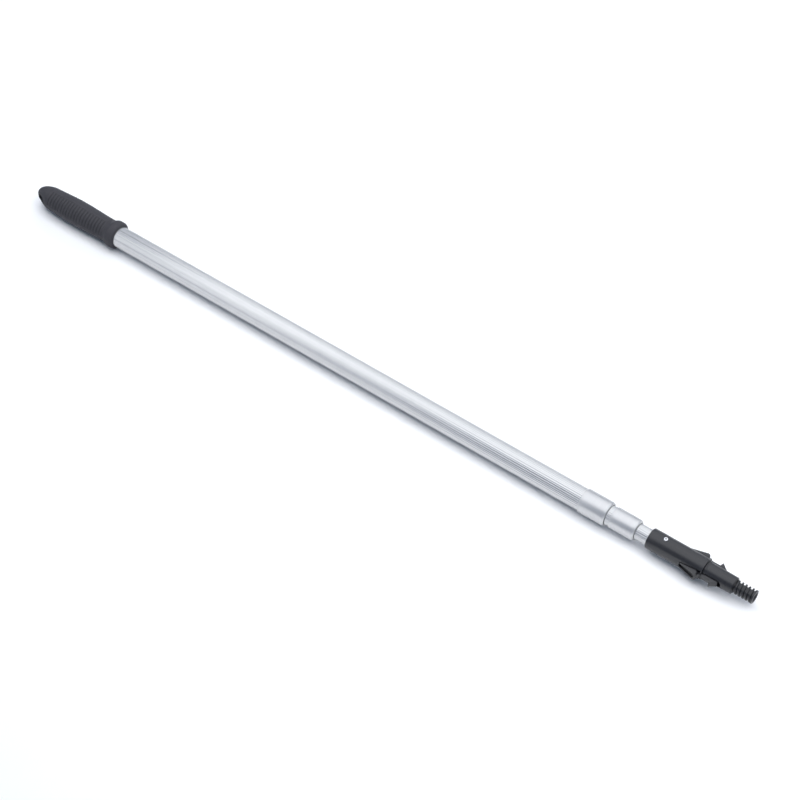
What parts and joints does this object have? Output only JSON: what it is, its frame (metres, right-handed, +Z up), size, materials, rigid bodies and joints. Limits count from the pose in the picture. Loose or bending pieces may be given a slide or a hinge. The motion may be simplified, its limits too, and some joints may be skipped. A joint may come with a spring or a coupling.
{
  "type": "roller extension pole",
  "caption": "Telescopic painting pole of ribbed aluminium tubes with twist locks, a rubber grip, and a threaded tip with sprung levers.",
  "frame": {"origin": "on the floor under the middle of the closed pole, which lies on its side with the grip's lip on the floor", "axes": "+X along the pole from the handle to the thread, +Z up through the rivet, -Y towards the near lever"},
  "size_m": [1.247, 0.0426, 0.0426],
  "materials": {
    "anodised_tube": "fine lengthwise ribs, satin clear anodised",
    "collar_aluminium": "smooth bead-blasted, satin",
    "grip_rubber": "fine circumferential ribs in panels, matt",
    "black_nylon": "moulded glass-filled nylon, satin",
    "white_acetal": "moulded acetal",
    "zinc_steel": "zinc plated",
    "rivet_aluminium": "bright"
  },
  "bodies": {
    "outer_section": {"grip": "grip_rubber", "end_plug": "white_acetal", "outer_tube": "anodised_tube", "outer_collar": "collar_aluminium", "outer_guide_bush": "white_acetal"},
    "middle_expander": {"middle_expander": "white_acetal"},
    "middle_cone": {"middle_lock_cone": "white_acetal"},
    "middle_section": {"middle_tube": "anodised_tube", "middle_collar": "collar_aluminium", "middle_guide_bush": "white_acetal", "middle_lock_plug": "white_acetal", "middle_lock_pin": "zinc_steel", "middle_lock_stud": "zinc_steel", "middle_stop_nut": "zinc_steel"},
    "inner_expander": {"inner_expander": "white_acetal"},
    "inner_cone": {"inner_lock_cone": "white_acetal"},
    "inner_section": {"inner_tube": "anodised_tube", "inner_lock_plug": "white_acetal", "inner_lock_pin": "zinc_steel", "inner_lock_stud": "zinc_steel", "inner_stop_nut": "zinc_steel", "tip_socket": "black_nylon", "threaded_tip": "black_nylon", "rivet_top": "rivet_aluminium", "rivet_bottom": "rivet_aluminium", "rivet_mandrel_top": "zinc_steel", "rivet_mandrel_bottom": "zinc_steel", "lever_pin_near": "zinc_steel", "lever_pin_far": "zinc_steel", "lever_spring": "zinc_steel"},
    "near_lever": {"near_lever": "black_nylon"},
    "far_lever": {"far_lever": "black_nylon"}
  },
  "joints": [
    {"name": "middle_slide", "type": "slide", "parent": "outer_section", "child": "middle_expander", "axis": [1, 0, 0], "range_m": [0, 0.82]},
    {"name": "middle_twist", "type": "hinge", "parent": "middle_expander", "child": "middle_section", "pos_m": [0, 0, 0.0213], "axis": [1, 0, 0], "range_deg": [0, 270]},
    {"name": "middle_cone_travel", "type": "slide", "parent": "middle_expander", "child": "middle_cone", "axis": [1, 0, 0], "range_m": [-0.0025, 0]},
    {"name": "inner_slide", "type": "slide", "parent": "middle_section", "child": "inner_expander", "axis": [1, 0, 0], "range_m": [0, 0.82]},
    {"name": "inner_twist", "type": "hinge", "parent": "inner_expander", "child": "inner_section", "pos_m": [0, 0, 0.0213], "axis": [1, 0, 0], "range_deg": [0, 270]},
    {"name": "inner_cone_travel", "type": "slide", "parent": "inner_expander", "child": "inner_cone", "axis": [1, 0, 0], "range_m": [-0.0025, 0]},
    {"name": "near_lever_press", "type": "hinge", "parent": "inner_section", "child": "near_lever", "pos_m": [0.5195, -0.005, 0.0213], "axis": [0, 0, 1], "range_deg": [0, 9], "stiffness_Nm_per_rad": 0.8, "springref_deg": -6.88, "deforming": ["lever_spring"]},
    {"name": "far_lever_press", "type": "hinge", "parent": "inner_section", "child": "far_lever", "pos_m": [0.5195, 0.005, 0.0213], "axis": [0, 0, -1], "range_deg": [0, 9], "stiffness_Nm_per_rad": 0.8, "springref_deg": -6.88}
  ],
  "couplings": [
    {"joint": "middle_cone_travel", "follows": "middle_twist", "m_per_rad": -0.00047746},
    {"joint": "inner_cone_travel", "follows": "inner_twist", "m_per_rad": -0.00047746}
  ]
}
